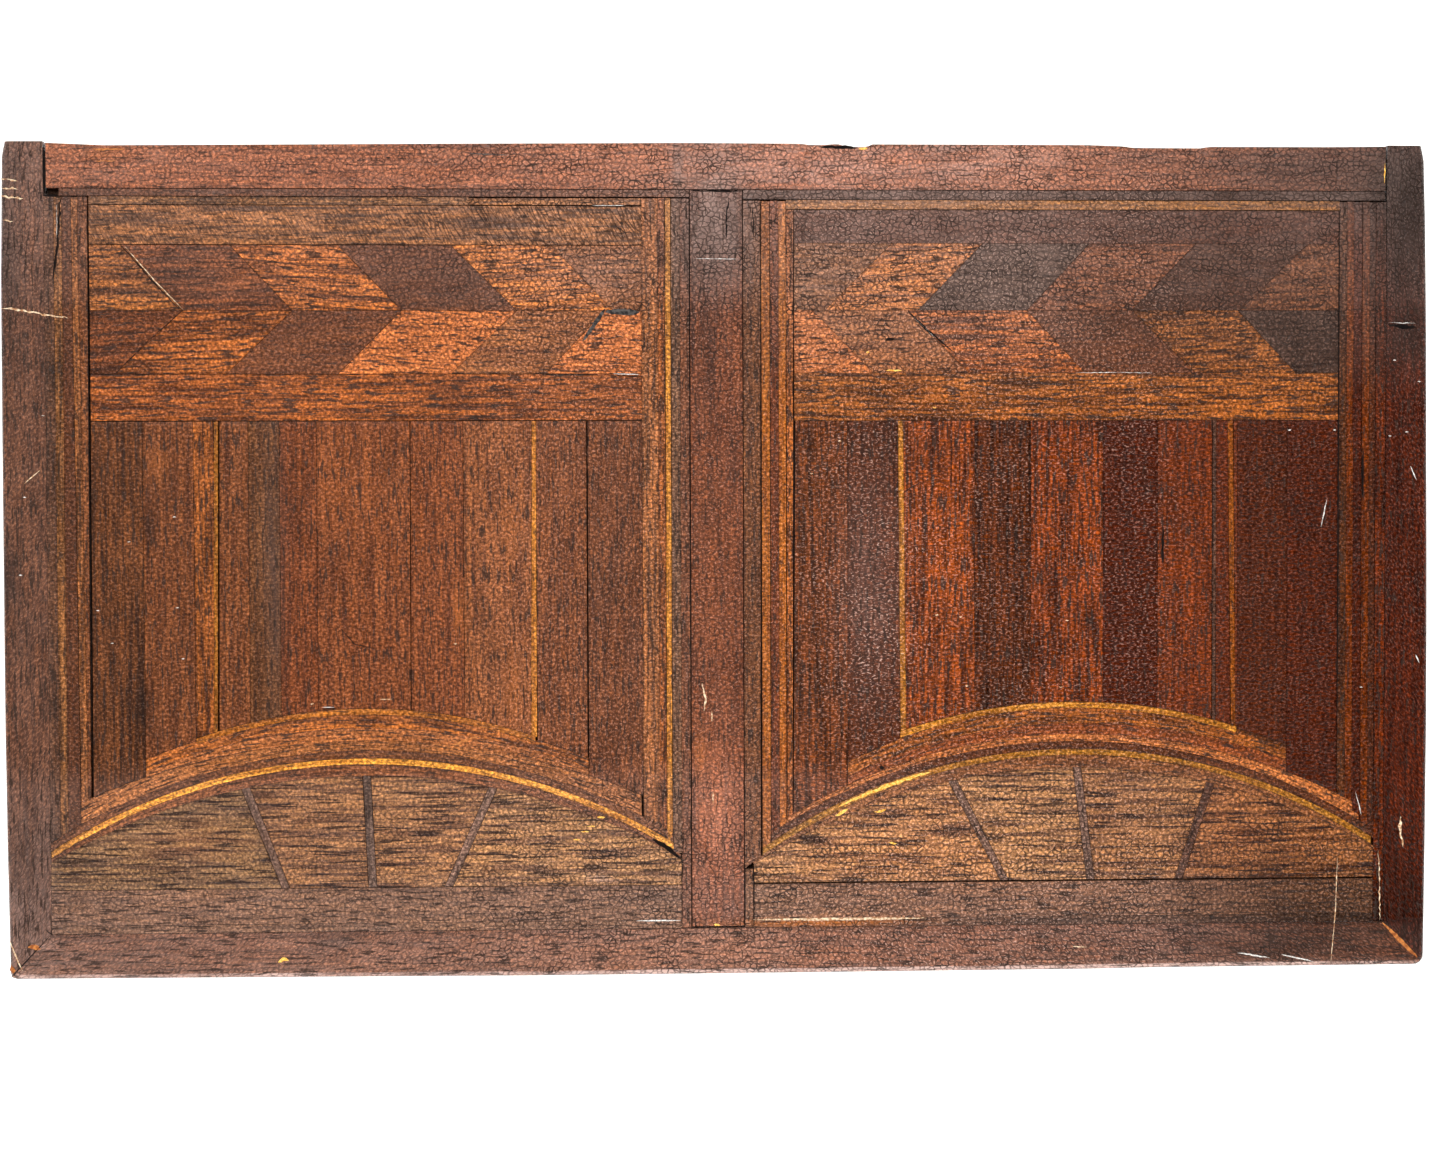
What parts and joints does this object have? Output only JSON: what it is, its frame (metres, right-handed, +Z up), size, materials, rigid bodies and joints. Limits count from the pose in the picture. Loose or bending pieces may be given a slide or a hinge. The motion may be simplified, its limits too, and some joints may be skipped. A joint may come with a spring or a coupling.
{
  "type": "miniature blanket chest",
  "caption": "Miniature lift-top chest: plain board case on bracket feet, with a parquetry lid of chevrons, staves and arched fans in mixed dark and orange timbers.",
  "frame": {"origin": "on the floor under the middle of the lid's outline", "axes": "+Z up, -Y towards the front, +X towards the lid's right-hand end as seen from the front"},
  "size_m": [0.3518, 0.205, 0.216],
  "materials": {
    "frame_mahogany": "old varnished mahogany, semi-gloss, crazed",
    "case_mahogany": "old varnished mahogany, satin",
    "ground_board": "bare secondary timber, stained by age",
    "dark_rosewood": "dark varnished veneer",
    "red_mahogany": "red-brown varnished veneer",
    "orange_padauk": "orange varnished veneer",
    "brown_walnut": "brown varnished veneer",
    "streaked_fan_wood": "streaked varnished veneer",
    "satinwood_string": "light golden stringing"
  },
  "bodies": {
    "root": {"lid_edging_front": "frame_mahogany", "lid_edging_left": "frame_mahogany", "lid_edging_right": "frame_mahogany", "lid_back_strip": "frame_mahogany", "lid_centre_stile": "frame_mahogany", "case_front": "case_mahogany", "case_back": "case_mahogany", "case_left_end": "case_mahogany", "case_right_end": "case_mahogany", "base_front": "case_mahogany", "base_left": "case_mahogany", "base_right": "case_mahogany", "base_back_rail": "case_mahogany", "lid_ground_board": "ground_board", "case_bottom": "ground_board", "left_top_band": "dark_rosewood", "left_under_band": "orange_padauk", "left_chevron_1": "red_mahogany", "left_chevron_2": "orange_padauk", "left_chevron_3": "dark_rosewood", "left_chevron_4": "orange_padauk", "left_chevron_5": "red_mahogany", "left_chevron_6": "orange_padauk", "left_stave_1": "brown_walnut", "left_stave_2": "red_mahogany", "left_stave_3": "orange_padauk", "left_stave_4": "red_mahogany", "left_stave_5": "brown_walnut", "left_stave_6": "orange_padauk", "left_stave_7": "red_mahogany", "left_stave_8": "brown_walnut", "left_border_outer": "brown_walnut", "left_border_inner": "brown_walnut", "left_arch_band": "orange_padauk", "left_arch_string": "satinwood_string", "left_fan_rays": "dark_rosewood", "left_fan_field": "streaked_fan_wood", "right_top_band": "dark_rosewood", "right_under_band": "orange_padauk", "right_chevron_1": "orange_padauk", "right_chevron_2": "red_mahogany", "right_chevron_3": "dark_rosewood", "right_chevron_4": "red_mahogany", "right_chevron_5": "dark_rosewood", "right_chevron_6": "red_mahogany", "right_stave_1": "brown_walnut", "right_stave_2": "red_mahogany", "right_stave_3": "orange_padauk", "right_stave_4": "dark_rosewood", "right_stave_5": "orange_padauk", "right_stave_6": "dark_rosewood", "right_stave_7": "red_mahogany", "right_stave_8": "dark_rosewood", "right_stave_9": "brown_walnut", "right_border_outer": "brown_walnut", "right_border_inner": "brown_walnut", "right_arch_band": "orange_padauk", "right_arch_string": "satinwood_string", "right_fan_rays": "dark_rosewood", "right_fan_field": "streaked_fan_wood"}
  },
  "joints": []
}
